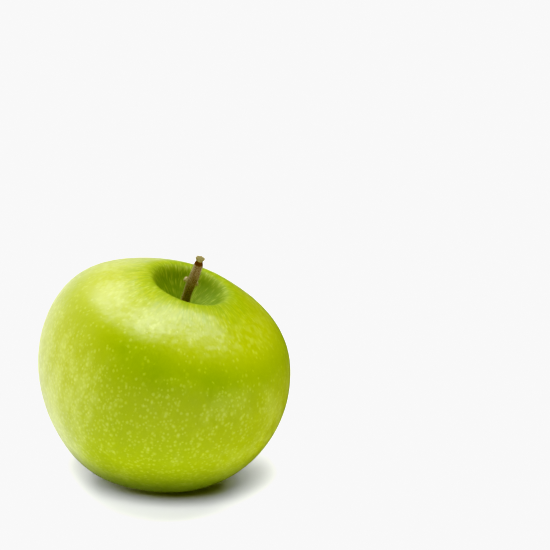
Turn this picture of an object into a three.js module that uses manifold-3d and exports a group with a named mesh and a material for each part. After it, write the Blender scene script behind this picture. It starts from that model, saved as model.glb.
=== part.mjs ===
// A green apple of the Granny Smith kind, with its stem and its dried calyx.
// Millimetres, +Z up. The origin is the middle of the small flat spot that the fruit rests on.
// The fruit is drawn about its own core axis first, with z = 0 at its widest level, and then leant.

import * as THREE from 'three';
import { mergeVertices } from 'three/addons/utils/BufferGeometryUtils.js';
import Module from 'manifold-3d';

// ---------------------------------------------------------------- driving dimensions

// Fruit, about its core axis
const RADIUS = 38; // at the widest level
const CREST_HEIGHT = 33; // top of the shoulders above the widest level
const CREST_RADIUS = 12.5; // from the core axis to the top of the shoulders
const CAVITY_DEPTH = 9.5; // of the stem cavity, under the shoulders
const HEEL_DEPTH = 33.5; // ridge round the calyx basin, below the widest level
const HEEL_RADIUS = 10.5; // from the core axis to that ridge
const BASIN_DEPTH = 6; // of the calyx basin

// How the fruit strays from a true round, each with the direction it points in
const SHOULDER_TILT = { rise: 5, toward: 262 }; // one shoulder stands higher
const HEEL_TILT = { rise: 2.6, toward: -26 }; // the heel is shallower on this side
const OVAL = { share: 0.037, toward: 127 };
const TRIANGLE = { share: 0.007, toward: 45 };
const LOBES = { count: 5, share: 0.014, toward: 24, heelDepth: 0.25 };

// How the fruit stands
const LEAN_RIGHT = 16; // degrees about Y
const LEAN_FORWARD = 16; // degrees about X
const CENTRE = new THREE.Vector3(0, 1.5, 34.7); // core axis at the widest level
const REST_EDGE = 0.3; // height over which the flat resting spot runs out into the round

// Stem, from its root up
const STEM_LENGTH = 20.2; // above the floor of the stem cavity
const STEM_ROOT = 3.2; // sunk in the flesh
const STEM_RADIUS = 1.25;
const STEM_SWAY = 0.55; // how far it drifts to +X on its way up
const STEM_DRIFT = [0, -0.1, 0.05, 0.95, 1]; // shares of that at even steps up the stem
const STEM_TEAR = 0.5; // height of the torn fibres at its end
const BUD_SCARS = [
  { height: 11.4, side: -1.6, radius: 0.8 },
  { height: 10.8, side: 1.6, radius: 0.75 },
];

// Dried calyx
const SEPAL_COUNT = 5;
const SEPAL_WIDTH = 2.8;
const SEPAL_THICKNESS = 0.7;
const STAMEN_COUNT = 9;
const STAMEN_RADIUS = 0.32;
const STAMEN_LENGTH = 3.4;
const CALYX_RADIUS = 3.4; // of the disc that the sepals grow on
const CALYX_THICKNESS = 1;

// Clearance between touching pieces
const GAP = 0.3;

// Fineness of the faceted surfaces
const FRUIT_SIDES = 64;
const STEPS_PER_SPAN = 5;
const STEM_SIDES = 16;
const STEM_RINGS = 47;
const SCAR_SIDES = 12;
const DISC_SIDES = 24;
const SEPAL_SIDES = 8;
const SEPAL_RINGS = 9;
const STAMEN_SIDES = 5;

// ---------------------------------------------------------------- small tools

const TURN = Math.PI * 2;
const radians = THREE.MathUtils.degToRad;
const ease = (x) => THREE.MathUtils.smoothstep(x, 0, 1);

// A point of a cubic B-spline, at t from 0 to 1 within the span that starts at points[index + 1]
function splinePoint(points, index, t) {
  const [a, b, c, d] = points.slice(index, index + 4);
  const point = a.clone().multiplyScalar((1 - t) ** 3);
  point.addScaledVector(b, 3 * t ** 3 - 6 * t ** 2 + 4);
  point.addScaledVector(c, -3 * t ** 3 + 3 * t ** 2 + 3 * t + 1);
  point.addScaledVector(d, t ** 3);
  return point.divideScalar(6);
}

// One closed body skinned over rings of points, which run anticlockwise seen from the last ring
function skin(rings) {
  const sides = rings[0].length;
  const middle = (ring) => ring.reduce((sum, point) => sum.add(point), new THREE.Vector3())
    .divideScalar(sides);
  const points = rings.flat();
  const first = points.push(middle(rings[0])) - 1;
  const last = points.push(middle(rings[rings.length - 1])) - 1;
  const faces = [];
  for (let side = 0; side < sides; side += 1) {
    const next = (side + 1) % sides;
    faces.push(first, next, side);
    for (let ring = 0; ring < rings.length - 1; ring += 1) {
      const low = ring * sides;
      const high = low + sides;
      faces.push(low + side, low + next, high + next);
      faces.push(low + side, high + next, high + side);
    }
    const end = (rings.length - 1) * sides;
    faces.push(last, end + side, end + next);
  }
  return new THREE.BufferGeometry().setFromPoints(points).setIndex(faces);
}

const wasm = await Module();
wasm.setup();

// A closed geometry as a solid, once the vertices that its faces share are merged
function solid(geometry) {
  geometry.deleteAttribute('normal');
  geometry.deleteAttribute('uv');
  const merged = mergeVertices(geometry);
  return new wasm.Manifold(new wasm.Mesh({
    numProp: 3,
    vertProperties: merged.attributes.position.array,
    triVerts: new Uint32Array(merged.index.array),
  }));
}

// Several closed bodies joined into one
function fuse(geometries) {
  const mesh = geometries.map(solid).reduce((whole, body) => whole.add(body)).getMesh();
  const geometry = new THREE.BufferGeometry();
  geometry.setAttribute('position', new THREE.BufferAttribute(mesh.vertProperties, 3));
  return geometry.setIndex(new THREE.BufferAttribute(mesh.triVerts, 1));
}

// Rings of a body that follows a curve, with section(along) giving each ring's points across it
function ringsAlong(curve, count, section) {
  return Array.from({ length: count }, (_, index) => {
    const along = index / (count - 1);
    const centre = curve.getPoint(along);
    const forward = curve.getTangent(along);
    const across = new THREE.Vector3(1, 0, 0).addScaledVector(forward, -forward.x).normalize();
    const third = forward.clone().cross(across);
    return section(along).map(([x, y, rise]) => centre.clone()
      .addScaledVector(across, x)
      .addScaledVector(third, y)
      .addScaledVector(forward, rise));
  });
}

// ---------------------------------------------------------------- fruit

const CAVITY_FLOOR = CREST_HEIGHT - CAVITY_DEPTH;
const BASIN_FLOOR = BASIN_DEPTH - HEEL_DEPTH;
const SOCKET_RADIUS = STEM_RADIUS + GAP;
const SOCKET_FLOOR = CAVITY_FLOOR - STEM_ROOT - 2 * GAP;
const SEAT_RADIUS = CALYX_RADIUS + GAP;
const SEAT_FLOOR = BASIN_FLOOR + CALYX_THICKNESS + GAP;

// Half of the fruit's section, as (radius, height), from the calyx basin up to the stem cavity
function sectionControls() {
  const between = (inner, share) => inner + (RADIUS - inner) * share;
  const controls = [
    [0, BASIN_FLOOR + 0.3],
    [HEEL_RADIUS * 0.3, BASIN_FLOOR - BASIN_DEPTH * 0.1],
    [HEEL_RADIUS * 0.62, BASIN_FLOOR - BASIN_DEPTH * 0.75],
    [HEEL_RADIUS * 1.05, -HEEL_DEPTH - 1.5],
    [between(HEEL_RADIUS, 0.455), -HEEL_DEPTH * 0.86],
    [RADIUS * 0.91, -HEEL_DEPTH * 0.5],
    [RADIUS * 1.055, CREST_HEIGHT * 0.02],
    [RADIUS * 0.97, CREST_HEIGHT * 0.5],
    [between(CREST_RADIUS, 0.73), CREST_HEIGHT * 0.745],
    [CREST_RADIUS * 1.4, CREST_HEIGHT - 0.6],
    [CREST_RADIUS * 0.93, CREST_HEIGHT + 1.6],
    [CREST_RADIUS * 0.77, CAVITY_FLOOR + CAVITY_DEPTH * 0.75],
    [CREST_RADIUS * 0.46, CAVITY_FLOOR + CAVITY_DEPTH * 0.34],
    [CREST_RADIUS * 0.2, CAVITY_FLOOR],
    [0, CAVITY_FLOOR - 0.6],
  ].map(([radius, height]) => new THREE.Vector2(radius, height));
  const mirrored = (point) => new THREE.Vector2(-point.x, point.y);
  return [mirrored(controls[1]), ...controls, mirrored(controls[controls.length - 2])];
}

// The section with the calyx seat and the stem's socket sunk at its ends
function fruitSection() {
  const controls = sectionControls();
  const spans = controls.length - 3;
  const skinPoints = [];
  for (let span = 0; span < spans; span += 1) {
    for (let step = 0; step < STEPS_PER_SPAN; step += 1) {
      skinPoints.push(splinePoint(controls, span, step / STEPS_PER_SPAN));
    }
  }
  const isOutside = (point) => point.x > (point.y < 0 ? SEAT_RADIUS : SOCKET_RADIUS) + GAP;
  const kept = skinPoints.filter(isOutside);
  const seatEdge = new THREE.Vector2(SEAT_RADIUS, kept[0].y);
  const socketEdge = new THREE.Vector2(SOCKET_RADIUS, kept[kept.length - 1].y);
  return [
    new THREE.Vector2(SEAT_RADIUS, SEAT_FLOOR),
    seatEdge,
    ...kept,
    socketEdge,
    new THREE.Vector2(SOCKET_RADIUS, SOCKET_FLOOR),
  ];
}

// Where a point of the round section really lies at this angle round the core
function fruitPoint(section, angle) {
  const wave = (times, toward) => Math.cos(times * (angle - radians(toward)));
  const reach = section.x / RADIUS;
  const up = ease((section.y / CREST_HEIGHT + 0.3) / 1.3);
  const down = ease((0.3 - section.y / HEEL_DEPTH) / 1.3);
  const lobe = wave(LOBES.count, LOBES.toward);
  const heelRidge = Math.exp(-(((section.x / HEEL_RADIUS - 1.2) / 0.8) ** 2));
  const outOfRound = OVAL.share * wave(2, OVAL.toward) + TRIANGLE.share * wave(3, TRIANGLE.toward);
  const lobed = LOBES.share * lobe * reach * (down + 0.25);
  const radius = section.x * (1 + outOfRound * reach ** 2 + lobed);
  const height = section.y
    + SHOULDER_TILT.rise * wave(1, SHOULDER_TILT.toward) * reach * up
    + HEEL_TILT.rise * wave(1, HEEL_TILT.toward) * reach * down
    - LOBES.heelDepth * lobe * down * heelRidge;
  return new THREE.Vector3(radius * Math.cos(angle), radius * Math.sin(angle), height);
}

// Core axis upright to core axis as the apple stands
const STANCE = new THREE.Matrix4()
  .makeRotationFromEuler(new THREE.Euler(radians(LEAN_FORWARD), radians(LEAN_RIGHT), 0, 'YXZ'))
  .setPosition(CENTRE);

// Height above the table, with what would reach below it pressed into the flat resting spot
function rested(height) {
  const edge = Math.max(REST_EDGE - Math.abs(height), 0);
  return Math.max(height, 0) + edge ** 2 / (4 * REST_EDGE);
}

function fruitGeometry() {
  const rings = fruitSection().map((section) => Array.from({ length: FRUIT_SIDES }, (_, side) => {
    const point = fruitPoint(section, (TURN * side) / FRUIT_SIDES).applyMatrix4(STANCE);
    return point.setZ(rested(point.z));
  }));
  return skin(rings);
}

// ---------------------------------------------------------------- stem

// Thickness along the stem: a knuckle over the bud scars, the edge of the bark, which stands off
// on the +X side, and a bare neck under the torn end
function stemRadius(along, angle) {
  const knuckle = 0.15 * Math.exp(-(((along - 0.67) / 0.14) ** 2));
  const barkEdge = 0.14 * Math.exp(-(((along - 0.895) / 0.025) ** 2)) * Math.max(Math.cos(angle), 0);
  const neck = 0.22 * Math.exp(-(((along - 0.955) / 0.025) ** 2));
  return STEM_RADIUS * (0.98 + knuckle + barkEdge - neck);
}

// A slightly ribbed section, and at the end a torn rim that is highest towards +X
function stemSection(along) {
  return Array.from({ length: STEM_SIDES }, (_, side) => {
    const angle = (TURN * side) / STEM_SIDES;
    const rib = 1 + 0.03 * Math.cos(3 * angle + 5 * along) - 0.025 * (side % 2);
    const radius = stemRadius(along, angle) * rib;
    const tear = 0.5 + 0.3 * Math.cos(angle) + 0.2 * Math.cos(4 * angle + 1);
    const rise = along === 1 ? STEM_TEAR * tear * (side % 2 ? 0.4 : 1) : 0;
    return [radius * Math.cos(angle), radius * Math.sin(angle), rise];
  });
}

function stemCurve() {
  const height = STEM_ROOT + STEM_LENGTH - STEM_TEAR;
  return new THREE.CatmullRomCurve3(STEM_DRIFT.map((share, step) => {
    const rise = (height * step) / (STEM_DRIFT.length - 1);
    return new THREE.Vector3(STEM_SWAY * share, 0, CAVITY_FLOOR - STEM_ROOT + rise);
  }));
}

// A small rounded scar where a bud or a leaf once sat on the stem
function budScar({ height, side, radius }) {
  return new THREE.SphereGeometry(radius, SCAR_SIDES, SCAR_SIDES / 2)
    .scale(1, 0.85, 1.1)
    .translate(side, 0, CAVITY_FLOOR + height);
}

function stemGeometry() {
  const shaft = skin(ringsAlong(stemCurve(), STEM_RINGS, stemSection));
  return fuse([shaft, ...BUD_SCARS.map(budScar)]).applyMatrix4(STANCE);
}

// ---------------------------------------------------------------- calyx

// A withered sepal: it leans in over the stamens, and its tip curls back out
function sepal(index) {
  const curl = 0.5 * Math.cos(index * 2.4); // each one withers a little differently
  const spine = new THREE.CatmullRomCurve3([
    new THREE.Vector3(0, 2.5, BASIN_FLOOR + 0.6),
    new THREE.Vector3(0, 2.3, BASIN_FLOOR - 1.4),
    new THREE.Vector3(0, 2.3, BASIN_FLOOR - 2.9),
    new THREE.Vector3(0, 3.3 + curl, BASIN_FLOOR - 4.2),
    new THREE.Vector3(0, 4.6 + curl, BASIN_FLOOR - 4.5 + curl),
  ]);
  const blade = skin(ringsAlong(spine, SEPAL_RINGS, (along) => {
    const half = (SEPAL_WIDTH / 2) * (1 - 0.8 * along ** 1.6);
    return Array.from({ length: SEPAL_SIDES }, (_, side) => {
      const angle = (TURN * side) / SEPAL_SIDES;
      return [half * Math.cos(angle), (SEPAL_THICKNESS / 2) * Math.sin(angle), 0];
    });
  }));
  return blade.rotateZ((TURN * index) / SEPAL_COUNT + radians(LOBES.toward));
}

// The dry stamens stand round the middle, every third one closer in
function stamen(index) {
  const distance = index % 3 ? 1 : 0.45;
  const length = STAMEN_LENGTH * (index % 2 ? 1 : 0.8);
  return new THREE.CylinderGeometry(STAMEN_RADIUS, STAMEN_RADIUS, length, STAMEN_SIDES)
    .rotateX(-Math.PI / 2)
    .translate(distance, 0, BASIN_FLOOR + CALYX_THICKNESS / 2 - length / 2)
    .rotateZ((TURN * index) / STAMEN_COUNT);
}

function calyxGeometry() {
  const disc = new THREE.CylinderGeometry(CALYX_RADIUS, CALYX_RADIUS, CALYX_THICKNESS, DISC_SIDES)
    .rotateX(Math.PI / 2)
    .translate(0, 0, BASIN_FLOOR + CALYX_THICKNESS / 2);
  const sepals = Array.from({ length: SEPAL_COUNT }, (_, index) => sepal(index));
  const stamens = Array.from({ length: STAMEN_COUNT }, (_, index) => stamen(index));
  return fuse([disc, ...sepals, ...stamens]).applyMatrix4(STANCE);
}

// ---------------------------------------------------------------- the whole apple

function piece(name, geometry, color, roughness) {
  geometry.computeVertexNormals();
  const material = new THREE.MeshStandardMaterial({ color, roughness, metalness: 0 });
  const mesh = new THREE.Mesh(geometry, material);
  mesh.name = name;
  return mesh;
}

const apple = new THREE.Group();
apple.add(
  piece('fruit', fruitGeometry(), 0xa9c21c, 0.35),
  piece('stem', stemGeometry(), 0x6f5a3a, 0.9),
  piece('calyx', calyxGeometry(), 0x57452c, 0.95),
);

export default apple;
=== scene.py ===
"""Looks of a green apple: speckled waxy skin, downy woody stem and dried calyx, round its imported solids."""

import math

import bmesh
import bpy
import numpy as np
from mathutils import Matrix, Vector, noise


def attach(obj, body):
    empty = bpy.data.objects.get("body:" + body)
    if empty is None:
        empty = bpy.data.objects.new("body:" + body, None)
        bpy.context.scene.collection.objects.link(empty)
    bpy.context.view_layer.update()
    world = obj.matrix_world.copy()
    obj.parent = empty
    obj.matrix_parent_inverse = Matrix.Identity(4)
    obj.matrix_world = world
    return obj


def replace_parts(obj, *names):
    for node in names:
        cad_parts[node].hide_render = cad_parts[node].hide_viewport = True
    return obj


MM = 0.001
TURN = 2 * math.pi

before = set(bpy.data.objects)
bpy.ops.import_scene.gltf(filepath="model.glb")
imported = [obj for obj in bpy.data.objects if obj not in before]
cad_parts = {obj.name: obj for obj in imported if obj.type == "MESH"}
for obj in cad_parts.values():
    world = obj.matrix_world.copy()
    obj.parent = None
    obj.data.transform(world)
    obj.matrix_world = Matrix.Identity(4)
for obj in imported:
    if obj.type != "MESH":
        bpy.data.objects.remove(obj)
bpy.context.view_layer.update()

# ------------------------------------------------------------------ the apple's form, in mm, as in its solids

RADIUS = 38
CREST_HEIGHT = 33
CREST_RADIUS = 12.5
CAVITY_DEPTH = 9.5
HEEL_DEPTH = 33.5
HEEL_RADIUS = 10.5
BASIN_DEPTH = 6
CAVITY_FLOOR = CREST_HEIGHT - CAVITY_DEPTH
BASIN_FLOOR = BASIN_DEPTH - HEEL_DEPTH

# How the fruit strays from a true round, each with the direction it points in, in degrees
SHOULDER_RISE, SHOULDER_TOWARD = 5, 262
HEEL_RISE, HEEL_TOWARD = 2.6, -26
OVAL, OVAL_TOWARD = 0.037, 127
TRIANGLE, TRIANGLE_TOWARD = 0.007, 45
LOBES, LOBES_TOWARD = 0.014, 24
LOBE_COUNT = 5
LOBES_ALL_OVER = 0.25  # share of the lobes that reaches above the lower half
LOBE_HEEL_DEPTH = 0.25
HEEL_RIDGE = (1.2, 0.8)  # radius and width of the heel's rounded edge, in heel radii
OVERLAP = 0.3  # how far the forms of the upper and the lower half run into each other, in halves

LEAN_RIGHT = 16
LEAN_FORWARD = 16
CENTRE = (0, 1.5, 34.7)
REST_EDGE = 0.3

STEM_LENGTH = 20.2
STEM_ROOT = 3.2
STEM_RADIUS = 1.25
STEM_SWAY = 0.55
STEM_DRIFT = (0, -0.1, 0.05, 0.95, 1)
STEM_TEAR = 0.5
BUD_SCARS = ((11.4, -1.6, 0.8), (10.8, 1.6, 0.75))  # height, side, radius

# Uneven girth of the stem: by how many radii, at which share of its length, and how widely
STEM_GIRTH = 0.98  # in radii, elsewhere
KNUCKLE = (0.15, 0.67, 0.14)
BARK_EDGE = (0.14, 0.895, 0.025)
NECK = (0.22, 0.955, 0.025)

SEPAL_COUNT = 5
SEPAL_WIDTH = 2.8
SEPAL_THICKNESS = 0.7
STAMEN_COUNT = 9
STAMEN_RADIUS = 0.32
STAMEN_LENGTH = 3.4
CALYX_RADIUS = 3.4
CALYX_THICKNESS = 1

STANCE = (
    Matrix.Translation(Vector(CENTRE) * MM)
    @ Matrix.Rotation(math.radians(LEAN_RIGHT), 4, "Y")
    @ Matrix.Rotation(math.radians(LEAN_FORWARD), 4, "X")
    @ Matrix.Scale(MM, 4)
)


def ease(x):
    x = np.clip(x, 0, 1)
    return x * x * (3 - 2 * x)


def hump(place, height, middle, width):
    return height * np.exp(-(((place - middle) / width) ** 2))


def spline(controls, steps):
    """Points of a cubic B-spline that starts and ends on the axis, with its controls mirrored there."""
    mirror = np.array([-1, 1])
    points = np.vstack([controls[1] * mirror, controls, controls[-2] * mirror])
    t = np.linspace(0, 1, steps, endpoint=False)[:, None]
    weights = [(1 - t) ** 3, 3 * t**3 - 6 * t**2 + 4, -3 * t**3 + 3 * t**2 + 3 * t + 1, t**3]
    spans = [
        sum(weight * point for weight, point in zip(weights, points[span : span + 4])) / 6
        for span in range(len(points) - 3)
    ]
    return np.vstack(spans)


def section_controls():
    """Half of the fruit's section, as (radius, height), from the calyx basin up to the stem cavity."""

    def between(inner, share):
        return inner + (RADIUS - inner) * share

    return np.array(
        [
            [0, BASIN_FLOOR + 0.3],
            [HEEL_RADIUS * 0.3, BASIN_FLOOR - BASIN_DEPTH * 0.1],
            [HEEL_RADIUS * 0.62, BASIN_FLOOR - BASIN_DEPTH * 0.75],
            [HEEL_RADIUS * 1.05, -HEEL_DEPTH - 1.5],
            [between(HEEL_RADIUS, 0.455), -HEEL_DEPTH * 0.86],
            [RADIUS * 0.91, -HEEL_DEPTH * 0.5],
            [RADIUS * 1.055, CREST_HEIGHT * 0.02],
            [RADIUS * 0.97, CREST_HEIGHT * 0.5],
            [between(CREST_RADIUS, 0.73), CREST_HEIGHT * 0.745],
            [CREST_RADIUS * 1.4, CREST_HEIGHT - 0.6],
            [CREST_RADIUS * 0.93, CREST_HEIGHT + 1.6],
            [CREST_RADIUS * 0.77, CAVITY_FLOOR + CAVITY_DEPTH * 0.75],
            [CREST_RADIUS * 0.46, CAVITY_FLOOR + CAVITY_DEPTH * 0.34],
            [CREST_RADIUS * 0.2, CAVITY_FLOOR],
            [0, CAVITY_FLOOR - 0.6],
        ],
        float,
    )


def swollen(section, angle):
    """Where points of the round section really lie, about the core axis, before the fruit leans."""

    def wave(times, toward):
        return np.cos(times * (angle - math.radians(toward)))

    radius, height = section[..., 0], section[..., 1]
    reach = radius / RADIUS
    up = ease((height / CREST_HEIGHT + OVERLAP) / (1 + OVERLAP))
    down = ease((OVERLAP - height / HEEL_DEPTH) / (1 + OVERLAP))
    lobe = wave(LOBE_COUNT, LOBES_TOWARD)
    out_of_round = OVAL * wave(2, OVAL_TOWARD) + TRIANGLE * wave(3, TRIANGLE_TOWARD)
    lobed = LOBES * lobe * reach * (down + LOBES_ALL_OVER)
    wide = radius * (1 + out_of_round * reach**2 + lobed)
    high = (
        height
        + SHOULDER_RISE * wave(1, SHOULDER_TOWARD) * reach * up
        + HEEL_RISE * wave(1, HEEL_TOWARD) * reach * down
        - LOBE_HEEL_DEPTH * lobe * down * hump(radius / HEEL_RADIUS, 1, *HEEL_RIDGE)
    )
    return np.stack([wide * np.cos(angle), wide * np.sin(angle), high], -1)


def stand(points):
    """From mm about the upright core axis to metres as the apple stands."""
    turn = np.array(STANCE.to_3x3())
    return points @ turn.T + np.array(STANCE.translation)


def rested(heights):
    """Heights in metres, with what would reach below the ground pressed into the flat resting spot."""
    edge = np.maximum(REST_EDGE * MM - np.abs(heights), 0)
    return np.maximum(heights, 0) + edge**2 / (4 * REST_EDGE * MM)


# ------------------------------------------------------------------ mesh tools

THORN_BEND = 0.12  # share of its length that a thorn bends aside at half its length
THORN_WAIST = 0.7  # share of its girth that it has there
SEED_STEP = (17.3, 5.1, 9.7)  # how far apart in the noise one seed lies from the next


def new_piece(name, points, faces, material):
    mesh = bpy.data.meshes.new(name)
    mesh.from_pydata([tuple(p) for p in points], [], [tuple(int(i) for i in f) for f in faces])
    mesh.update()
    mesh.shade_smooth()
    piece = bpy.data.objects.new(name, mesh)
    bpy.context.scene.collection.objects.link(piece)
    mesh.materials.append(material)
    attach(piece, "root")
    return piece


def grid_faces(rings, sides):
    """Quads between rings of points, and a fan at each end round its own middle point."""
    ring, side = np.meshgrid(np.arange(rings - 1), np.arange(sides), indexing="ij")
    low, nxt = ring * sides, (side + 1) % sides
    quads = np.stack([low + side, low + nxt, low + sides + nxt, low + sides + side], -1).reshape(-1, 4)
    around = np.arange(sides)
    after = (around + 1) % sides
    first, last = rings * sides, rings * sides + 1
    top = (rings - 1) * sides
    starts = np.stack([np.full(sides, first), after, around], -1)
    ends = np.stack([np.full(sides, last), top + around, top + after], -1)
    return [*quads.tolist(), *starts.tolist(), *ends.tolist()]


def closed(rings):
    """The points of rings (an array: ring, side, xyz) with the middles of both ends after them."""
    return np.vstack([rings.reshape(-1, 3), rings[0].mean(0), rings[-1].mean(0)])


def point_data(piece, name, values):
    """Stores a vector for each of the piece's points, for its material to read."""
    attribute = piece.data.attributes.new(name, "FLOAT_VECTOR", "POINT")
    attribute.data.foreach_set("vector", np.asarray(values, np.float32).ravel())


def bumps(points, size, seed=0):
    """Smooth noise of about -1 to 1 at each point, with lumps of about this size."""
    shift = Vector([seed * step for step in SEED_STEP])
    return np.array([noise.noise(Vector(p) / size + shift) for p in points])


def unit(vectors):
    return vectors / np.linalg.norm(vectors, axis=1)[:, None]


def spread(angle):
    """Level directions from the axis at these angles."""
    return np.stack([np.cos(angle), np.sin(angle), 0 * angle], -1)


def smooth_curve(knots, shares):
    """Points of a Catmull-Rom curve through the knots, at shares of its length in knots."""
    knots = np.array(knots, float)
    knots = np.vstack([2 * knots[0] - knots[1], knots, 2 * knots[-1] - knots[-2]])
    spans = len(knots) - 3
    place = np.clip(np.asarray(shares) * spans, 0, spans - 1e-6)
    span = place.astype(int)
    t = (place - span)[:, None]
    a, b, c, d = (knots[span + step] for step in range(4))
    return (2 * b + (c - a) * t + (2 * a - 5 * b + 4 * c - d) * t**2 + (3 * b - a - 3 * c + d) * t**3) / 2


def tube(centres, across, second, widths, depths, sides):
    """Rings of an oval tube: widths along across, depths along second."""
    turn = np.arange(sides) / sides * TURN
    wide = np.cos(turn)[None, :, None] * (across * widths[:, None])[:, None, :]
    deep = np.sin(turn)[None, :, None] * (second * depths[:, None])[:, None, :]
    return centres[:, None, :] + wide + deep


def thorns(roots, tips, width, sides=3):
    """Thin closed cones from roots to tips, bent a little at half their length."""
    rng = np.random.default_rng(len(roots))
    lean = tips - roots
    first = unit(np.cross(lean, rng.normal(size=roots.shape)))
    second = unit(np.cross(lean, first))
    middle = (roots + tips) / 2 + first * np.linalg.norm(lean, axis=1)[:, None] * THORN_BEND
    rows = []
    for centre, share in ((roots, 1.0), (middle, THORN_WAIST)):
        for side in range(sides):
            turn = TURN * side / sides
            out = first * math.cos(turn) + second * math.sin(turn)
            rows.append(centre + out * (width * share)[:, None])
    points = np.stack([*rows, tips], 1)
    faces = [list(range(sides))[::-1]]
    for side in range(sides):
        after = (side + 1) % sides
        faces.append([side, after, sides + after, sides + side])
        faces.append([sides + side, sides + after, 2 * sides])
    count = points.shape[1]
    every = [[start * count + v for v in face] for start in range(len(points)) for face in faces]
    return points.reshape(-1, 3), every


def joined(parts):
    points, faces, start = [], [], 0
    for more, new in parts:
        points.append(more)
        faces += [[start + v for v in face] for face in new]
        start += len(more)
    return np.vstack(points), faces


def turned(part, angle):
    points, faces = part
    c, s = math.cos(angle), math.sin(angle)
    return points @ np.array([[c, s, 0], [-s, c, 0], [0, 0, 1]]), faces


# ------------------------------------------------------------------ node tools


class Nodes:
    """Adds nodes to the tree of a material or of the world."""

    def __init__(self, tree):
        self.tree = tree

    def put(self, socket, value):
        if isinstance(value, bpy.types.NodeSocket):
            self.tree.links.new(value, socket)
        else:
            socket.default_value = value

    def add(self, kind, inputs=(), **settings):
        node = self.tree.nodes.new("ShaderNode" + kind)
        for name, value in settings.items():
            setattr(node, name, value)
        for name, value in dict(inputs).items():
            self.put(node.inputs[name], value)
        return node

    def math(self, operation, *values):
        return self.add("Math", enumerate(values), operation=operation).outputs[0]

    def times(self, first, second):
        return self.math("MULTIPLY", first, second)

    def line(self, value, slope, base):
        """value * slope + base"""
        return self.math("MULTIPLY_ADD", value, slope, base)

    def vector(self, operation, *values):
        outputs = self.add("VectorMath", enumerate(values), operation=operation).outputs
        return outputs["Value" if operation == "DOT_PRODUCT" else "Vector"]

    def band(self, value, start, end, low=0.0, high=1.0):
        """low before start, high after end, smooth between them."""
        inputs = {0: value, 1: start, 2: end, 3: low, 4: high}
        return self.add("MapRange", inputs, interpolation_type="SMOOTHSTEP").outputs[0]

    def mix(self, share, first, second):
        colour = [c if isinstance(c, bpy.types.NodeSocket) else (*c, 1) for c in (first, second)]
        return self.add("Mix", {0: share, 6: colour[0], 7: colour[1]}, data_type="RGBA").outputs[2]

    def layered(self, colour, layers):
        """The colour under layers of (share, colour), the last of them on top."""
        for share, tint in layers:
            colour = self.mix(share, colour, tint)
        return colour

    def noise(self, where, size, detail=2.0, rough=0.5):
        """Noise from 0 to 1, with lumps of about this size."""
        inputs = {"Vector": where, "Scale": 1 / size, "Detail": detail, "Roughness": rough}
        return self.add("TexNoise", inputs).outputs[0]

    def bump(self, height, strength, distance):
        return self.add("Bump", {"Height": height, "Strength": strength, "Distance": distance}).outputs[0]

    def parts(self, vector):
        return self.add("SeparateXYZ", {0: vector}).outputs[:]

    def attribute(self, name):
        return self.add("Attribute", attribute_name=name).outputs["Vector"]


def new_material(name):
    material = bpy.data.materials.new(name)
    material.use_nodes = True
    return Nodes(material.node_tree), material, material.node_tree.nodes["Principled BSDF"]


def plain_material(name, colour, roughness):
    _, material, shader = new_material(name)
    shader.inputs["Base Color"].default_value = (*colour, 1)
    shader.inputs["Roughness"].default_value = roughness
    return material


# ------------------------------------------------------------------ fruit

FRUIT_SIDES = 300
STEPS_PER_SPAN = 21
POLE = 0.25  # mm; rings of the skin that are smaller are left out
SWELL = 0.07  # mm, how far the skin's faint lumps stand out
SWELL_SIZE = 9  # mm
SWELL_MIDDLE = (0, 0, 2)  # mm, the point that they stand out from

# The space that the skin's marks are drawn in, in mm. Where it is wider than the real skin, marks come out
# narrower, and where a step up the skin is shorter in it, they come out longer
CAVITY_REACH = 26  # least radius that it has on its way to the stem
BASIN_REACH = 12  # least radius that it has on its way to the calyx
REACH_TURN = (-10, 10)  # heights between which the second gives way to the first
REACH_POWER = 6  # how sharply the radius settles at its least
SHORTENING = 0.55  # share by which a step up the skin is shorter in it near the top
SHORTENING_TURN = (10, 50)  # way up the skin over which it gets so
LEAST_RISE = 0.03  # least square of the height that a step of 1 gains in it

LEVEL_REACH = 48  # mm along the skin, from the widest ring to where level is 1 or -1
PAINTED_SHADE_HEIGHTS = (20, 5)  # mm above the ground between which painted shade turns the skin a dark green, standing in for the shade under the fruit


def along_skin(section):
    """Way up the skin of each ring, in mm from the widest one."""
    along = np.concatenate([[0], np.cumsum(np.hypot(*np.diff(section, axis=0).T))])
    return along - along[np.argmax(section[:, 0])]


def skin_space(section, along):
    """Where each ring lies in the space that the skin's marks are drawn in, as radii and heights."""
    radius, height = section[:, 0], section[:, 1]
    turned = ease((height - REACH_TURN[0]) / (REACH_TURN[1] - REACH_TURN[0]))
    least = BASIN_REACH + (CAVITY_REACH - BASIN_REACH) * turned
    wide = (radius**REACH_POWER + least**REACH_POWER) ** (1 / REACH_POWER)
    step = np.diff(along)
    length = 1 - SHORTENING * ease((along - SHORTENING_TURN[0]) / (SHORTENING_TURN[1] - SHORTENING_TURN[0]))
    rise = np.sqrt(np.maximum(length[1:] ** 2 - (np.diff(wide) / step) ** 2, LEAST_RISE)) * step
    up = np.concatenate([[0], np.cumsum(rise)])
    return wide, up - up[np.argmax(radius)]


def skin_places(section, along, heights):
    """How far down the stem cavity, how near the ground and how far up or down the fruit each point is."""
    crest = along[np.argmax(section[:, 1])]
    cavity = np.clip((along - crest) / (along[-1] - crest), -1, 1)
    level = ease(along / LEVEL_REACH) - ease(-along / LEVEL_REACH)
    cavity, level = (np.repeat(ring[:, None], FRUIT_SIDES, 1) for ring in (cavity, level))
    # Painted shade: 1 from the lower height down, 0 from the higher one up
    under = ease((PAINTED_SHADE_HEIGHTS[0] - heights) / (PAINTED_SHADE_HEIGHTS[0] - PAINTED_SHADE_HEIGHTS[1]))
    return np.stack([cavity, under, level], -1)


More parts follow.
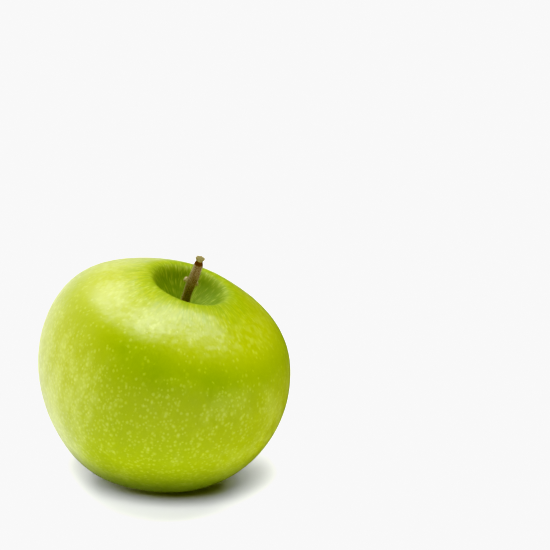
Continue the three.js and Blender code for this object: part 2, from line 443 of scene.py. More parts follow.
def fruit_skin(material):
    section = spline(section_controls(), STEPS_PER_SPAN)
    section = section[section[:, 0] > POLE]
    angle = np.arange(FRUIT_SIDES) / FRUIT_SIDES * TURN
    core = swollen(np.repeat(section[:, None, :], FRUIT_SIDES, 1), angle[None, :])
    upright = closed(core)
    outward = unit(upright - np.array(SWELL_MIDDLE))
    upright += outward * (SWELL * bumps(upright, SWELL_SIZE))[:, None]
    points = stand(upright)
    points[:, 2] = rested(points[:, 2])
    piece = new_piece("fruit_skin", points, grid_faces(len(section), FRUIT_SIDES), material)
    along = along_skin(section)
    wide, up = skin_space(section, along)
    across = np.outer(wide, np.cos(angle)), np.outer(wide, np.sin(angle))
    grain = np.stack([*across, np.outer(up, np.ones(FRUIT_SIDES))], -1)
    point_data(piece, "grain", closed(grain))
    heights = points[:-2, 2].reshape(-1, FRUIT_SIDES) / MM
    point_data(piece, "place", closed(skin_places(section, along, heights)))
    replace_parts(piece, "fruit")
    return piece


# ------------------------------------------------------------------ skin

PAINTED_LIGHT_SIDE = (-1, 0.1, 0)  # painted light: the side whose skin is made lighter and yellower, as if more light fell on it
PAINTED_LIGHT_ACROSS = 0.65  # as much of that painted light on the side across from it
BARE_SIDE = (0.05, -1, 0)  # the side with the fewest clouds of speckles

# Sizes of the skin's patterns, in mm
PATCH_SIZE = 13
CLOUD_SIZE = 7
MOTTLE_SIZE = 2
WAVE_SIZE = 1.8
STREAK_SIZE = 0.8
FINE_SIZE = 0.5
WOBBLE_SIZE = 1.3
WOBBLE = 0.3  # mm, by which it bends the speckles out of round
STREAK_SQUEEZE = (1, 1, 0.12)  # a pattern squeezed in height comes out drawn along the meridians
CLOUD_SQUEEZE = (1, 1, 0.7)
CLOUD_START = (60, 10, 0)  # mm, where in the noise the clouds are taken from

# Colours of the skin, as linear light
GREEN = (0.2, 0.3, 0.0)
LIGHT_GREEN = (0.24, 0.33, 0.0)
CREST_COLOUR = (0.38, 0.43, 0.0)
# Partly the lower half's own paler, yellower skin, partly painted bounce light from the floor
LOW_PALE_AND_BOUNCE_COLOUR = (0.31, 0.378, 0.0)
# Painted light: the lighter, yellower colour of the sides that more light falls on
PAINTED_LIGHT_COLOUR = (0.45, 0.46, 0.0)
STREAK_COLOUR = (0.42, 0.5, 0.01)
RIM_COLOUR = (0.19, 0.32, 0.0)
# Partly the stem cavity's own deeper green, partly painted shade darkening its hollow
CAVITY_GREEN_AND_SHADE = (0.085, 0.18, 0.0)
# Painted shade: the dark green that the skin is darkened to near the ground
PAINTED_SHADE_COLOUR = (0.05, 0.1, 0.0)
CLOUD_COLOUR = (0.5, 0.57, 0.12)
MOTTLE_COLOUR = (0.55, 0.62, 0.16)
HEART_COLOUR = (0.6, 0.66, 0.16)
GLOW_COLOUR = (0.55, 0.64, 0.03)

# Bands of a pattern or of a place: from, to, and the shares before and after where they aren't 0 and 1. Level
# is -1 at the calyx, 0 at the widest ring and 1 near the crest. Cavity is 0 at the crest and 1 at the stem
PATCHES = (0.3, 0.7)
CREST_LEVEL = (0.34, 0.7, 0, 0.72)
LOW_PALE_AND_BOUNCE_LEVEL = (0.36, 0.0, 0, 0.6)
PAINTED_LIGHT_BAND = (0.2, 0.9, 0, 0.46)
STREAKS = (0.35, 0.75)
STREAK_LEVEL = (0.35, 0.65, 0.05, 0.22)
RIM_CAVITY = (-0.7, -0.1)
RIM_STREAKS = (0.6, 0.4)
CAVITY = (-0.25, 0.35, 0, 0.9)
BARE = (0.7, 1, 0.04, -0.1)
CLOUDS = (0.44, 0.66)
MOTTLES = (0.36, 0.7)
MOTTLE_LEVEL = (0.45, 0.75)
MOTTLE_CAVITY = (-0.1, -0.9)
BUSY_LOW_LEVEL = (0.4, 0.03)
BUSY_HIGH_LEVEL = (0.6, 0.9)
FINE_SPECKS = (0.35, 0.7, 0, 0.03)
WORN_CAVITY = (-0.25, 0.1, 0, 0.35)
WORN_WAVES = (0.35, 0.65, 0, 0.06)

CLOUDS_UP = 0.15  # share of the clouds' crowding that is left in the upper half
RIM_SHARE = 0.6
CLOUD_SHARE = 0.27
MOTTLE_SHARE = 0.34
# How much of the painted shade's colour the skin takes at the ground
PAINTED_SHADE_SHARE = 0.88

# Two kinds of speckle: the spacing, the radii of heart and halo in mm, how many of the places are taken (by
# crowding in clouds, by busy levels, and everywhere), and how much of their colours halo and heart have
BOLD = {"spacing": 1.65, "heart": 0.43, "halo": 1.1, "taken": (0.45, 0.45, 0.12)}
FAINT = {"spacing": 1.0, "heart": 0.4, "halo": 0.8, "taken": (0.85, 0.5, 0.1)}
BOLD_GLOW, BOLD_HEART = 0.11, 0.19
FAINT_GLOW, FAINT_HEART = 0.1, 0.2
SPECKLE_DOUBT = 0.03  # how near to its limit a speckle's chance is when the speckle is partly there
SPECKLE_SIZES = (0.7, 0.5)  # spread and least, as shares of the radii
SPECKLE_EDGE = (0.35, 1.65)  # where a heart starts to fade and where it ends, as shares of its radius

SKIN_ROUGHNESS = 0.28
ROUGH_FINE = 0.02
ROUGH_UNDER = 0.3
SKIN_GLOSS = 0.4
FINE_HEIGHT, HEART_HEIGHT, WAVE_HEIGHT = 0.5, 0.8, 3.5  # in bump distances
BUMP_DISTANCE = 0.0001  # m
SKIN_BUMP = 0.25


def toward(nodes, grain, side):
    """How far out to a side the skin is: 1 at the widest ring there, and -1 across from it."""
    return nodes.math("DIVIDE", nodes.vector("DOT_PRODUCT", grain, side), RADIUS)


def skin_ground(nodes, grain, cavity, level):
    """The skin's colour under its marks, with painted light on its sides, and partly painted bounce light low
    down and painted shade in its cavity.
    """
    # Painted light: 1 out on the one side, and part of that on the side across from it
    painted_light = toward(nodes, grain, PAINTED_LIGHT_SIDE)
    painted_light = nodes.math("MAXIMUM", painted_light, nodes.times(painted_light, -PAINTED_LIGHT_ACROSS))
    streaks = nodes.noise(nodes.vector("MULTIPLY", grain, STREAK_SQUEEZE), STREAK_SIZE, detail=3, rough=0.6)
    rim = nodes.times(nodes.band(cavity, *RIM_CAVITY), nodes.band(streaks, *RIM_STREAKS))
    colour = nodes.mix(nodes.band(nodes.noise(grain, PATCH_SIZE), *PATCHES), GREEN, LIGHT_GREEN)
    return nodes.layered(colour, [
        (nodes.band(level, *CREST_LEVEL), CREST_COLOUR),
        # partly painted bounce light: the lower half lighter and yellower
        (nodes.band(level, *LOW_PALE_AND_BOUNCE_LEVEL), LOW_PALE_AND_BOUNCE_COLOUR),
        # painted light on the skin's two sides
        (nodes.band(painted_light, *PAINTED_LIGHT_BAND), PAINTED_LIGHT_COLOUR),
        (nodes.times(nodes.band(streaks, *STREAKS), nodes.band(level, *STREAK_LEVEL)), STREAK_COLOUR),
        (nodes.times(rim, RIM_SHARE), RIM_COLOUR),
        # partly painted shade: the stem cavity's hollow darkened, over its own deeper green
        (nodes.band(cavity, *CAVITY), CAVITY_GREEN_AND_SHADE),
    ])


def speckles(nodes, where, crowded, busy, spacing, heart, halo, taken):
    """Scattered dots: how much of a dot's heart and how much of its halo there is at each point."""
    in_clouds, in_busy, anywhere = taken
    share = nodes.line(crowded, in_clouds, nodes.line(busy, in_busy, anywhere))
    cells = nodes.add("TexVoronoi", {"Vector": where, "Scale": 1 / spacing}, feature="F1")
    chance, size, _ = nodes.parts(cells.outputs["Color"])
    present = nodes.band(nodes.math("SUBTRACT", share, chance), -SPECKLE_DOUBT, SPECKLE_DOUBT)
    distance = nodes.math("DIVIDE", cells.outputs["Distance"], nodes.line(size, *SPECKLE_SIZES))
    start, end = (heart * edge / spacing for edge in SPECKLE_EDGE)
    hearts = nodes.times(nodes.band(distance, start, end, 1, 0), present)
    halos = nodes.times(nodes.band(distance, 0.0, halo / spacing, 1, 0), present)
    return hearts, halos


def skin_marks(nodes, grain, place, cavity, level):
    """Layers of clouds, mottling and speckles over the skin's ground, and where the speckles' hearts are."""
    low = nodes.band(level, *BUSY_LOW_LEVEL)
    busy = nodes.math("MAXIMUM", low, nodes.band(level, *BUSY_HIGH_LEVEL))
    drawn = nodes.vector("MULTIPLY_ADD", grain, CLOUD_SQUEEZE, CLOUD_START)
    cloudy = nodes.noise(drawn, CLOUD_SIZE, detail=3, rough=0.6)
    cloudy = nodes.math("ADD", cloudy, nodes.band(toward(nodes, grain, BARE_SIDE), *BARE))
    crowded = nodes.times(nodes.band(cloudy, *CLOUDS), nodes.line(low, 1 - CLOUDS_UP, CLOUDS_UP))
    mottle = nodes.band(nodes.noise(place, MOTTLE_SIZE, detail=1), *MOTTLES)
    mottle = nodes.times(mottle, nodes.band(level, *MOTTLE_LEVEL))
    mottle = nodes.times(mottle, nodes.band(cavity, *MOTTLE_CAVITY))
    wobble = nodes.add("TexNoise", {"Vector": grain, "Scale": 1 / WOBBLE_SIZE, "Detail": 1.0})
    bent = nodes.vector("MULTIPLY_ADD", wobble.outputs["Color"], (WOBBLE,) * 3, grain)
    bold_heart, bold_glow = speckles(nodes, bent, crowded, busy, **BOLD)
    faint_heart, faint_glow = speckles(nodes, bent, crowded, busy, **FAINT)
    layers = [
        (nodes.times(crowded, CLOUD_SHARE), CLOUD_COLOUR),
        (nodes.times(mottle, MOTTLE_SHARE), MOTTLE_COLOUR),
        (nodes.times(bold_glow, BOLD_GLOW), GLOW_COLOUR),
        (nodes.times(faint_glow, FAINT_GLOW), GLOW_COLOUR),
        (nodes.times(faint_heart, FAINT_HEART), HEART_COLOUR),
        (nodes.times(bold_heart, BOLD_HEART), HEART_COLOUR),
    ]
    return layers, nodes.math("MAXIMUM", bold_heart, faint_heart)


def skin_material():
    nodes, material, shader = new_material("skin")
    grain = nodes.attribute("grain")
    cavity, under, level = nodes.parts(nodes.attribute("place"))
    place = nodes.vector("MULTIPLY", nodes.add("TexCoord").outputs["Object"], (1 / MM,) * 3)
    fine = nodes.noise(grain, FINE_SIZE, detail=2, rough=0.6)
    waves = nodes.noise(place, WAVE_SIZE, detail=1)
    marks, hearts = skin_marks(nodes, grain, place, cavity, level)
    colour = nodes.layered(skin_ground(nodes, grain, cavity, level), [
        *marks,
        (nodes.band(fine, *FINE_SPECKS), GLOW_COLOUR),
        # painted shade: the skin near the ground darkened to a dark green
        (nodes.times(under, PAINTED_SHADE_SHARE), PAINTED_SHADE_COLOUR),
    ])
    nodes.put(shader.inputs["Base Color"], colour)

    worn = nodes.math("MAXIMUM", nodes.band(cavity, *WORN_CAVITY), nodes.band(waves, *WORN_WAVES))
    # Rougher near the ground, over the same span as the painted shade
    rough = nodes.line(under, ROUGH_UNDER, nodes.line(fine, ROUGH_FINE, SKIN_ROUGHNESS))
    nodes.put(shader.inputs["Roughness"], nodes.math("ADD", rough, worn))
    shader.inputs["Specular IOR Level"].default_value = SKIN_GLOSS
    height = nodes.math("ADD", nodes.times(fine, FINE_HEIGHT), nodes.times(hearts, HEART_HEIGHT))
    height = nodes.line(waves, WAVE_HEIGHT, height)
    nodes.put(shader.inputs["Normal"], nodes.bump(height, SKIN_BUMP, BUMP_DISTANCE))
    return material


# ------------------------------------------------------------------ stem

STEM_SIDES = 64
STEM_RINGS = 130
STEM_START = 0.1  # share of the stem's length from which there is bark, still inside the flesh
TORN_HOLLOW = 0.5  # mm, how deep the middle of the torn end lies
TORN_RIM = 0.35  # share of the tear's height that the bark's own end has
TORN_LEVEL, TORN_RIGHT, TORN_WAVE = 0.5, 0.3, 0.2  # of it: all round, to the right, and in four waves
RIBS = ((0.03, 3, 5, 0), (0.022, 7, 9, 1))  # share of the radius, count, twist up the stem, start
BARK_LUMPS = (0.06, 0.7)  # mm, height and size
BARK_GRAINS = (0.025, 0.22)
LUMP_SQUEEZE = (1, 1, 0.35)  # lumps squeezed in height come out drawn along the stem

SCAR_FINENESS = 4  # subdivisions of an icosphere
SCAR_SHAPE = (1, 0.85, 1.1)
SCAR_DENT = 0.28  # share of the radius
SCAR_DENT_RISE = 0.2  # where on the scar's outer side it is, in radii
SCAR_DENT_SPREAD = 0.12  # square of its width, in radii
SCAR_LUMPS = ((0.14, 0.55, 3), (0.05, 0.2, 5))  # share of the radius, size in radii, seed

# Measures of hairs and fibres in mm, some as (least, most)
DOWN_COUNT = 5200
DOWN_SEED = 11
DOWN_SPAN = (0.2, 0.9)  # shares of the stem's length, up to the dark ring under its torn end
DOWN_LENGTH = (0.12, 0.45)
DOWN_GIRTH = (0.014, 0.026)
DOWN_DEPTH = 0.03  # in the bark
DOWN_LIFT = 0.35  # how far a hair leans up for each 1 outwards
DOWN_MESS = 0.45  # and at random
FIBRE_COUNT = 220
FIBRE_SEED = 5
FIBRE_SIDES = 5
FIBRE_GIRTH = (0.09, 0.2)
FIBRE_DEPTH = 0.55
FIBRE_LENGTH = 0.6
FIBRE_RISE, FIBRE_RISE_RIGHT = 0.6, 0.3  # how much longer they are, in tears: all round, and to the right
FIBRE_UNEVEN = 1.3  # most of that which a fibre has
FIBRE_REACH = 0.95  # share of the stem's radius that they fill
FIBRE_SPLAY = 0.35  # most that they lean out, in shares of their way from the middle
FIBRE_MESS = 0.12

BARK_DARK, BARK_LIGHT = (0.1, 0.05, 0.026), (0.27, 0.165, 0.095)
BARK_LINE_COLOUR = (0.37, 0.27, 0.16)
BARK_ROOT_COLOUR = (0.17, 0.088, 0.02)
# Painted light: the paler colour of the stem's lit left side
BARK_PAINTED_LIGHT_COLOUR = (0.43, 0.35, 0.22)
NECK_COLOUR = (0.085, 0.02, 0.006)
TORN_COLOUR = (0.3, 0.25, 0.11)
BARK_GRAIN_SIZE = 0.35  # mm
BARK_LINE_SIZE = 0.4
BARK_LINE_SQUEEZE = (1, 1, 0.2)
BARK_LINES = (0.45, 0.7, 0, 0.5)  # bands, as in the skin
BARK_ROOT = (0.5, 0.18, 0, 0.75)  # of shares of the stem's length
BARK_PAINTED_LIGHT = (-0.3, -1, 0, 0.35)  # of how far round to its right side; painted light, paler on the stem's left, where light falls on it
NECK_SPAN = (0.925, 0.94)
TORN_SPAN = (0.985, 1.0)
RAGGED = 0.05  # share of the stem's length by which these last two are uneven

GRAIN = (0.35, 0.65)  # the band of the noise in which dark turns to light
DRY_ROUGHNESS = 0.85
DRY_GLOSS = 0.25
BARK_BUMP = 0.6
DRY_BUMP = 0.5
HAIR_ROUGHNESS = 0.8


def stem_centre(along):
    """The stem's middle line, upright, at shares of its length from its root to its torn end."""
    steps = np.linspace(0, STEM_ROOT + STEM_LENGTH - STEM_TEAR, len(STEM_DRIFT))
    root = CAVITY_FLOOR - STEM_ROOT
    knots = [(STEM_SWAY * share, 0, root + step) for share, step in zip(STEM_DRIFT, steps)]
    return smooth_curve(knots, along)


def stem_radius(along, angle):
    bark_edge = hump(along, *BARK_EDGE) * np.maximum(np.cos(angle), 0)
    return STEM_RADIUS * (STEM_GIRTH + hump(along, *KNUCKLE) + bark_edge - hump(along, *NECK))


def stem_surface(along, angle):
    """Points of the stem's bark, upright, with its ribs, wrinkles and uneven girth, and their way out."""
    ribs = [share * np.cos(count * angle + twist * along + start) for share, count, twist, start in RIBS]
    across = spread(angle)
    points = stem_centre(along) + across * (stem_radius(along, angle) * (1 + sum(ribs)))[:, None]
    lumps = BARK_LUMPS[0] * bumps(points * np.array(LUMP_SQUEEZE), BARK_LUMPS[1], seed=1)
    grains = BARK_GRAINS[0] * bumps(points, BARK_GRAINS[1], seed=2)
    return points + across * (lumps + grains)[:, None], across


def stem_wood(material):
    along = np.repeat(np.linspace(STEM_START, 1, STEM_RINGS), STEM_SIDES)
    angle = np.tile(np.arange(STEM_SIDES) / STEM_SIDES * TURN, STEM_RINGS)
    points, _ = stem_surface(along, angle)
    tear = TORN_LEVEL + TORN_RIGHT * np.cos(angle) + TORN_WAVE * np.cos(4 * angle + 1)
    points[:, 2] += np.where(along == 1, TORN_RIM * STEM_TEAR * tear, 0)
    rings = closed(points.reshape(STEM_RINGS, STEM_SIDES, 3))
    rings[-1, 2] -= TORN_HOLLOW
    piece = new_piece("stem_wood", stand(rings), grid_faces(STEM_RINGS, STEM_SIDES), material)
    place = np.stack([along, np.cos(angle), np.sin(angle)], -1)
    point_data(piece, "place", np.vstack([place, [STEM_START, 0, 0], [1, 0, 0]]))
    point_data(piece, "grain", rings)
    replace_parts(piece, "stem")
    return piece


def bud_scar(index):
    """One scarred nub, dented on its outer side, as points and faces."""
    height, side, radius = BUD_SCARS[index]
    ball = bmesh.new()
    bmesh.ops.create_icosphere(ball, subdivisions=SCAR_FINENESS, radius=1)
    shell = np.array([v.co for v in ball.verts])
    faces = [[v.index for v in f.verts] for f in ball.faces]
    ball.free()
    outer = (shell[:, 0] * np.sign(side) - 1) ** 2 + (shell[:, 2] - SCAR_DENT_RISE) ** 2
    lumps = sum(share * bumps(shell, size, seed=seed + index) for share, size, seed in SCAR_LUMPS)
    girth = radius * (1 + lumps - SCAR_DENT * np.exp(-outer / SCAR_DENT_SPREAD))
    lump = shell * girth[:, None] * np.array(SCAR_SHAPE)
    return lump + np.array([side, 0, CAVITY_FLOOR + height]), faces


def stem_buds(material):
    """Two little scarred nubs where buds once sat."""
    points, faces = joined([bud_scar(index) for index in range(len(BUD_SCARS))])
    piece = new_piece("stem_buds", stand(points), faces, material)
    point_data(piece, "grain", points)
    return piece


def stem_down(material):
    rng = np.random.default_rng(DOWN_SEED)
    along = rng.uniform(*DOWN_SPAN, DOWN_COUNT)
    angle = rng.uniform(0, TURN, DOWN_COUNT)
    roots, across = stem_surface(along, angle)
    lean = unit(across + rng.normal(size=roots.shape) * DOWN_MESS + np.array([0, 0, DOWN_LIFT]))
    length = rng.uniform(*DOWN_LENGTH, DOWN_COUNT)
    tips = roots + lean * length[:, None]
    points, faces = thorns(roots - across * DOWN_DEPTH, tips, rng.uniform(*DOWN_GIRTH, DOWN_COUNT))
    return new_piece("stem_down", stand(points), faces, material)


def stem_fibres(material):
    """The pale torn fibres at the stem's end, longest on the right."""
    rng = np.random.default_rng(FIBRE_SEED)
    angle = rng.uniform(0, TURN, FIBRE_COUNT)
    out = STEM_RADIUS * FIBRE_REACH * np.sqrt(rng.uniform(0, 1, FIBRE_COUNT))
    across = spread(angle)
    end = stem_centre(np.array([1.0]))[0]
    roots = end + across * out[:, None] - np.array([0, 0, FIBRE_DEPTH])
    rise = STEM_TEAR * (FIBRE_RISE + FIBRE_RISE_RIGHT * np.cos(angle))
    height = FIBRE_LENGTH + rise * rng.uniform(0, FIBRE_UNEVEN, FIBRE_COUNT)
    splay = across * (out * rng.uniform(0, FIBRE_SPLAY, FIBRE_COUNT))[:, None]
    splay = splay + rng.normal(size=roots.shape) * FIBRE_MESS
    tips = roots + splay + np.array([0, 0, 1]) * height[:, None]
    points, faces = thorns(roots, tips, rng.uniform(*FIBRE_GIRTH, FIBRE_COUNT), FIBRE_SIDES)
    piece = new_piece("stem_fibres", stand(points), faces, material)
    point_data(piece, "grain", points)
    return piece


def dry_surface(nodes, shader, colour, height, strength):
    """Gives the shader a matt, dry, rough surface of this colour."""
    nodes.put(shader.inputs["Base Color"], colour)
    shader.inputs["Roughness"].default_value = DRY_ROUGHNESS
    shader.inputs["Specular IOR Level"].default_value = DRY_GLOSS
    nodes.put(shader.inputs["Normal"], nodes.bump(height, strength, BUMP_DISTANCE))


def bark_material():
    nodes, material, shader = new_material("bark")
    grain = nodes.attribute("grain")
    along, side, _ = nodes.parts(nodes.attribute("place"))
    fine = nodes.noise(grain, BARK_GRAIN_SIZE, detail=4, rough=0.65)
    combed = nodes.vector("MULTIPLY", grain, BARK_LINE_SQUEEZE)
    lines = nodes.noise(combed, BARK_LINE_SIZE, detail=3, rough=0.6)
    ragged = nodes.line(fine, RAGGED, along)
    bark = nodes.mix(nodes.band(fine, *GRAIN), BARK_DARK, BARK_LIGHT)
    bark = nodes.layered(bark, [
        (nodes.band(lines, *BARK_LINES), BARK_LINE_COLOUR),
        (nodes.band(along, *BARK_ROOT), BARK_ROOT_COLOUR),
        # painted light on the stem's left side
        (nodes.band(side, *BARK_PAINTED_LIGHT), BARK_PAINTED_LIGHT_COLOUR),
        (nodes.band(ragged, *NECK_SPAN), NECK_COLOUR),
        (nodes.band(ragged, *TORN_SPAN), TORN_COLOUR),
    ])
    dry_surface(nodes, shader, bark, fine, BARK_BUMP)
    return material


def dry_material(name, dark, light, size):
    """A dry, mottled, matt material that reads the piece's grain."""
    nodes, material, shader = new_material(name)
    fine = nodes.noise(nodes.attribute("grain"), size, detail=4, rough=0.65)
    dry_surface(nodes, shader, nodes.mix(nodes.band(fine, *GRAIN), dark, light), fine, DRY_BUMP)
    return material


def build_stem():
    stem_wood(bark_material())
    stem_buds(dry_material("bud_scar", (0.28, 0.22, 0.1), (0.52, 0.44, 0.24), 0.4))
    stem_fibres(dry_material("torn_fibre", (0.24, 0.19, 0.07), (0.46, 0.41, 0.2), 0.3))
    stem_down(plain_material("stem_hair", (0.56, 0.47, 0.31), HAIR_ROUGHNESS))


# ------------------------------------------------------------------ calyx

SEPAL_SIDES = 24
SEPAL_RINGS = 48
SEPAL_CUP = 0.3  # mm, how far a sepal's edges curl round
SEPAL_CRINKLE = (0.09, 0.9)  # mm, height and size
CRINKLE_SQUEEZE = (2.2, 1, 1)
STAMEN_SIDES = 12
STAMEN_RINGS = 30
STAMEN_BEND = (0.25, 0.3)  # mm
STAMEN_KNOB = (0.75, 0.9, 0.08)  # radii, place and width as shares of the length
STAMEN_THREAD = 0.55  # radius of the rest, in radii
CUP_SIDES = 72
CUP_SHARES = (0.15, 0.4, 0.6, 0.75, 0.88, 1, 1, 0.85, 0.5, 0.15)  # of the calyx's radius
CUP_HEIGHTS = (0.25, 0.2, 0.12, 0.05, -0.02, 0.1, 0.8, 1, 1, 1)  # in its thickness
CUP_LUMPS = (0.08, 0.7)  # mm, height and size
CALYX_DOWN_COUNT = 1500
CALYX_DOWN_SEED = 3
CALYX_DOWN_LENGTH = (0.15, 0.45)
CALYX_DOWN_GIRTH = (0.012, 0.02)
CALYX_DOWN_MESS = 0.6


def sepal(index):
    """A withered sepal: it leans in over the stamens, and its tip curls back out."""
    curl = 0.5 * math.cos(index * 2.4)  # each one withers a little differently
    spine = [
        (0, 2.5, BASIN_FLOOR + 0.6),
        (0, 2.3, BASIN_FLOOR - 1.4),
        (0, 2.3, BASIN_FLOOR - 2.9),
        (0, 3.3 + curl, BASIN_FLOOR - 4.2),
        (0, 4.6 + curl, BASIN_FLOOR - 4.5 + curl),
    ]
    along = np.linspace(0, 1, SEPAL_RINGS)
    centres = smooth_curve(spine, along)
    across = np.tile([1.0, 0, 0], (SEPAL_RINGS, 1))
    second = np.cross(unit(np.gradient(centres, axis=0)), across)
    width = SEPAL_WIDTH / 2 * (1 - 0.8 * along**1.6)
    depth = SEPAL_THICKNESS / 2 * (1 - 0.35 * along)
    rings = tube(centres, across, second, width, depth, SEPAL_SIDES)
    curled = (rings[..., 0] / (SEPAL_WIDTH / 2)) ** 2 * SEPAL_CUP
    rings = rings + second[:, None, :] * curled[..., None]
    flat = rings.reshape(-1, 3)
    crinkles = SEPAL_CRINKLE[0] * bumps(flat * CRINKLE_SQUEEZE, SEPAL_CRINKLE[1], seed=index)
    flat += np.repeat(second, SEPAL_SIDES, 0) * crinkles[:, None]
    return closed(flat.reshape(rings.shape)), grid_faces(SEPAL_RINGS, SEPAL_SIDES)


def stamen(index):
    """A dry stamen with its knob. Every third one stands closer in."""
    distance = 1 if index % 3 else 0.45
    length = STAMEN_LENGTH * (1 if index % 2 else 0.8)
    along = np.linspace(0, 1, STAMEN_RINGS)
    centres = np.stack([
        distance + STAMEN_BEND[0] * along**2 * math.sin(index * 1.7),
        STAMEN_BEND[1] * along**2 * math.cos(index * 2.3),
        BASIN_FLOOR + CALYX_THICKNESS / 2 - length * along,
    ], -1)
    rounded_tip = np.sqrt(np.clip((1.02 - along) / 0.05, 0, 1))
    girth = STAMEN_RADIUS * (STAMEN_THREAD + hump(along, *STAMEN_KNOB)) * rounded_tip
    across, second = (np.tile(way, (STAMEN_RINGS, 1)) for way in ([1.0, 0, 0], [0, 1.0, 0]))
    rings = tube(centres, across, second, girth, -girth, STAMEN_SIDES)
    return closed(rings), grid_faces(STAMEN_RINGS, STAMEN_SIDES)


def calyx_cup():
    """The withered cup that the sepals grow on."""
    angle = np.arange(CUP_SIDES) / CUP_SIDES * TURN
    radius = np.outer(np.array(CUP_SHARES) * CALYX_RADIUS, np.ones(CUP_SIDES))
    height = BASIN_FLOOR + np.array(CUP_HEIGHTS) * CALYX_THICKNESS
    levels = np.repeat(height[:, None], CUP_SIDES, 1)
    rings = np.stack([radius * np.cos(angle), -radius * np.sin(angle), levels], -1)
    flat = rings.reshape(-1, 3)
    flat[:, 2] += CUP_LUMPS[0] * bumps(flat, CUP_LUMPS[1], seed=8)
    return closed(rings), grid_faces(len(CUP_SHARES), CUP_SIDES)


def calyx_piece(name, parts, material):
    points, faces = joined(parts)
    piece = new_piece(name, stand(points), faces, material)
    point_data(piece, "grain", points)
    return piece


def calyx_down(material, sepals):
    """Pale hairs on the sepals' outer sides and edges."""
    rng = np.random.default_rng(CALYX_DOWN_SEED)
    points = np.vstack([part[0][: SEPAL_RINGS * SEPAL_SIDES] for part in sepals])
    roots = points[rng.choice(len(points), CALYX_DOWN_COUNT, replace=False)]
    out = unit(roots * np.array([1, 1, 0]))
    lean = unit(out + rng.normal(size=roots.shape) * CALYX_DOWN_MESS)
    length = rng.uniform(*CALYX_DOWN_LENGTH, CALYX_DOWN_COUNT)
    girth = rng.uniform(*CALYX_DOWN_GIRTH, CALYX_DOWN_COUNT)
    hairs, faces = thorns(roots, roots + lean * length[:, None], girth)
    return new_piece("calyx_down", stand(hairs), faces, material)


def build_calyx():
    start = math.radians(LOBES_TOWARD)
    sepals = [turned(sepal(i), TURN * i / SEPAL_COUNT + start) for i in range(SEPAL_COUNT)]
    stamens = [turned(stamen(i), TURN * i / STAMEN_COUNT) for i in range(STAMEN_COUNT)]
    brown = dry_material("sepal", (0.07, 0.045, 0.02), (0.22, 0.17, 0.08), 0.8)
    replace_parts(calyx_piece("calyx_sepals", sepals, brown), "calyx")
    calyx_piece("calyx_stamens", stamens, dry_material("stamen", (0.05, 0.03, 0.012), (0.2, 0.13, 0.05), 0.5))
    calyx_piece("calyx_cup", [calyx_cup()], dry_material("cup", (0.06, 0.045, 0.018), (0.2, 0.17, 0.06), 0.6))
    calyx_down(plain_material("calyx_hair", (0.5, 0.45, 0.32), HAIR_ROUGHNESS), sepals)


# ------------------------------------------------------------------ stage

LENS = 150  # mm
SENSOR = 36  # mm
IMAGE = 550  # pixels a side
CAMERA_DISTANCE = 0.692  # m, from the fruit's centre, along the view
CAMERA_PITCH = 16  # degrees down
CENTRE_PIXEL = (163, 374.5)  # where the fruit's centre shows

# Two softboxes overhead, one across the front and one back along the left: their spans in x and in y on a
# level one unit above the apple, how far their y shears with x, and their power
SOFTBOXES = (
    {"spans": ((-0.32, 0.98), (-0.28, 0.1)), "shear": -0.25, "power": 1},
    {"spans": ((-0.76, -0.3), (0.0, 0.95)), "shear": 0, "power": 0.52},
)
BOX_EDGE = 0.08
BOX_FADE = (0.0, 0.35, 1, 0.8)  # from where to where it falls off to the right, and what is left of it
BOX_HORIZON = (0.02, 0.1)  # heights of a direction between which their light starts
BOX_LIGHT = 12

# A pale wall at the back left: the way to its middle, and bands of directions in which it starts and fades
WALL_TOWARD = (-0.87, 0.5)
WALL_SIDES = (0.35, 0.9)
WALL_FOOT = (-0.85, -0.5)
WALL_FADE = (-0.5, 0.0, 1, 0.76)
WALL_LIGHT = 1.6

# The pale sweep behind the fruit, which stops to the right
SWEEP_BACK = (0.8, 0.95)
SWEEP_FOOT = (-0.35, -0.2)
SWEEP_RIGHT = (0.25, 0.0)
SWEEP_LIGHT = 0.36

ROOM_LIGHT = 0.05
GROUND_LIGHT = 0.06
GROUND_EDGE = (0.0, -0.2)  # heights of a direction between which the room gives way to the ground

FLOOR_SIZE = 8  # m
FLOOR_SHADE = 0.88
FLOOR_ROUGHNESS = 0.95
FLOOR_GLOSS = 0.1
BACKDROP_RADIUS = 3.9  # m
BACKDROP_HEIGHT = 12  # m
BACKDROP_SIDES = 96
FRONT_SIZE = 0.45  # m
FRONT_DISTANCE = 1  # m
FRONT_RISE = 41  # degrees
FRONT_ASIDE = 4  # degrees to the left
FRONT_POWER = 13  # W

# The film's curves, as shares of full
WHITE = 0.94
BLUE_TOE = ((0.03, 0.004), (0.1, 0.055), (0.25, 0.23))


def build_camera():
    data = bpy.data.cameras.new("camera")
    data.lens = LENS
    data.sensor_width = SENSOR
    camera = bpy.data.objects.new("camera", data)
    bpy.context.scene.collection.objects.link(camera)
    camera.rotation_euler = (math.radians(90 - CAMERA_PITCH), 0, 0)
    focal = LENS / SENSOR * IMAGE
    aside = (CENTRE_PIXEL[0] - IMAGE / 2) / focal
    above = (IMAGE / 2 - CENTRE_PIXEL[1]) / focal
    offset = Vector((aside, above, -1)) * CAMERA_DISTANCE
    camera.location = Vector(CENTRE) * MM - camera.rotation_euler.to_matrix() @ offset
    bpy.context.scene.camera = camera


def softbox(nodes, x, y, z, spans, shear, power):
    """The light of one softbox in each direction, with soft edges."""
    light = nodes.band(z, *BOX_HORIZON)
    above = nodes.math("MAXIMUM", z, BOX_HORIZON[0])
    for way, (start, end) in zip((x, nodes.line(x, shear, y)), spans):
        aside = nodes.math("SUBTRACT", nodes.math("DIVIDE", way, above), (start + end) / 2)
        half = (end - start) / 2
        inside = nodes.band(nodes.math("ABSOLUTE", aside), half - BOX_EDGE, half + BOX_EDGE, 1, 0)
        light = nodes.times(light, inside)
    return nodes.times(light, power)


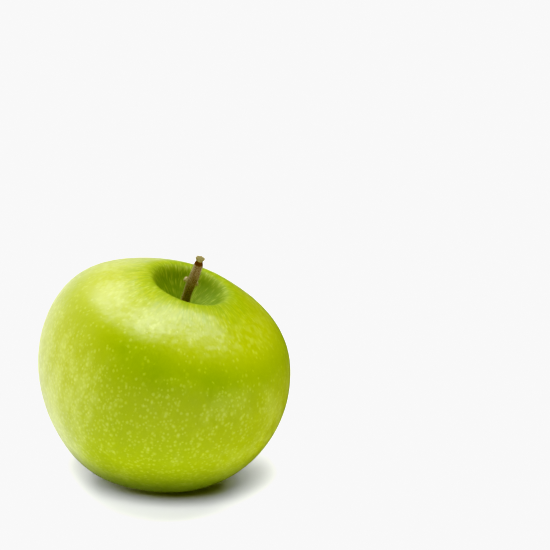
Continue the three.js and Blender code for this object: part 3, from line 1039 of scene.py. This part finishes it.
def build_world():
    """Two softboxes overhead, a pale wall at the back left and a pale sweep behind, fixed in the world."""
    world = bpy.data.worlds.new("studio")
    bpy.context.scene.world = world
    world.use_nodes = True
    nodes = Nodes(world.node_tree)
    x, y, z = nodes.parts(nodes.add("TexCoord").outputs["Generated"])

    boxes = nodes.math("MAXIMUM", *(softbox(nodes, x, y, z, **box) for box in SOFTBOXES))
    across = nodes.math("DIVIDE", x, nodes.math("MAXIMUM", z, BOX_HORIZON[0]))
    boxes = nodes.times(boxes, nodes.band(across, *BOX_FADE))

    back_left = nodes.math("ADD", nodes.times(x, WALL_TOWARD[0]), nodes.times(y, WALL_TOWARD[1]))
    wall = nodes.times(nodes.band(back_left, *WALL_SIDES), nodes.band(z, *WALL_FOOT))
    wall = nodes.times(wall, nodes.band(z, *WALL_FADE))

    sweep = nodes.times(nodes.band(y, *SWEEP_BACK), nodes.band(z, *SWEEP_FOOT))
    sweep = nodes.times(sweep, nodes.band(x, *SWEEP_RIGHT, 0, SWEEP_LIGHT))

    room = nodes.math("ADD", nodes.band(z, *GROUND_EDGE, ROOM_LIGHT, GROUND_LIGHT), sweep)
    light = nodes.line(boxes, BOX_LIGHT, nodes.line(wall, WALL_LIGHT, room))
    background = world.node_tree.nodes["Background"]
    nodes.put(background.inputs["Strength"], light)
    background.inputs["Color"].default_value = (1, 1, 1, 1)


def build_floor():
    bpy.ops.mesh.primitive_plane_add(size=FLOOR_SIZE)
    floor = bpy.context.object
    floor.name = "floor"
    material = plain_material("floor", (FLOOR_SHADE,) * 3, FLOOR_ROUGHNESS)
    material.node_tree.nodes["Principled BSDF"].inputs["Specular IOR Level"].default_value = FLOOR_GLOSS
    floor.data.materials.append(material)
    floor.visible_glossy = False  # reflections see the world's darker ground instead
    return floor


def build_backdrop():
    """A white wall round the floor that only the camera sees, so that it puts no light on the fruit."""
    bpy.ops.mesh.primitive_cylinder_add(
        vertices=BACKDROP_SIDES, radius=BACKDROP_RADIUS, depth=BACKDROP_HEIGHT, end_fill_type="NOTHING"
    )
    wall = bpy.context.object
    wall.name = "backdrop"
    material = plain_material("backdrop", (0, 0, 0), 1)
    shader = material.node_tree.nodes["Principled BSDF"]
    shader.inputs["Emission Color"].default_value = (1, 1, 1, 1)
    shader.inputs["Emission Strength"].default_value = 1
    wall.data.materials.append(material)
    wall.visible_diffuse = wall.visible_glossy = wall.visible_shadow = False


def build_front_light(floor):
    """A soft light from the front, on the floor alone, that keeps the shadow close in under the fruit."""
    data = bpy.data.lights.new("front_light", "AREA")
    data.size = FRONT_SIZE
    data.energy = FRONT_POWER
    light = bpy.data.objects.new("front_light", data)
    bpy.context.scene.collection.objects.link(light)
    light.rotation_euler = (math.radians(90 - FRONT_RISE), 0, math.radians(-FRONT_ASIDE))
    light.location = light.rotation_euler.to_matrix() @ Vector((0, 0, FRONT_DISTANCE))
    taker = bpy.data.collections.new("takes_front_light")
    taker.objects.link(floor)
    light.light_linking.receiver_collection = taker


def build_film():
    """The camera's response: whites stop just short of full, and blue falls away in the darker tones."""
    view = bpy.context.scene.view_settings
    view.view_transform = "Standard"
    view.use_curve_mapping = True
    curves = view.curve_mapping
    curves.extend = "HORIZONTAL"
    red, green, blue, _ = curves.curves
    for curve in (red, green, blue):
        curve.points[-1].location = (1, WHITE)
    for point in BLUE_TOE:
        blue.points.new(*point)
    curves.update()


build_camera()
build_world()
build_front_light(build_floor())
build_backdrop()
build_film()

fruit_skin(skin_material())
build_stem()
build_calyx()
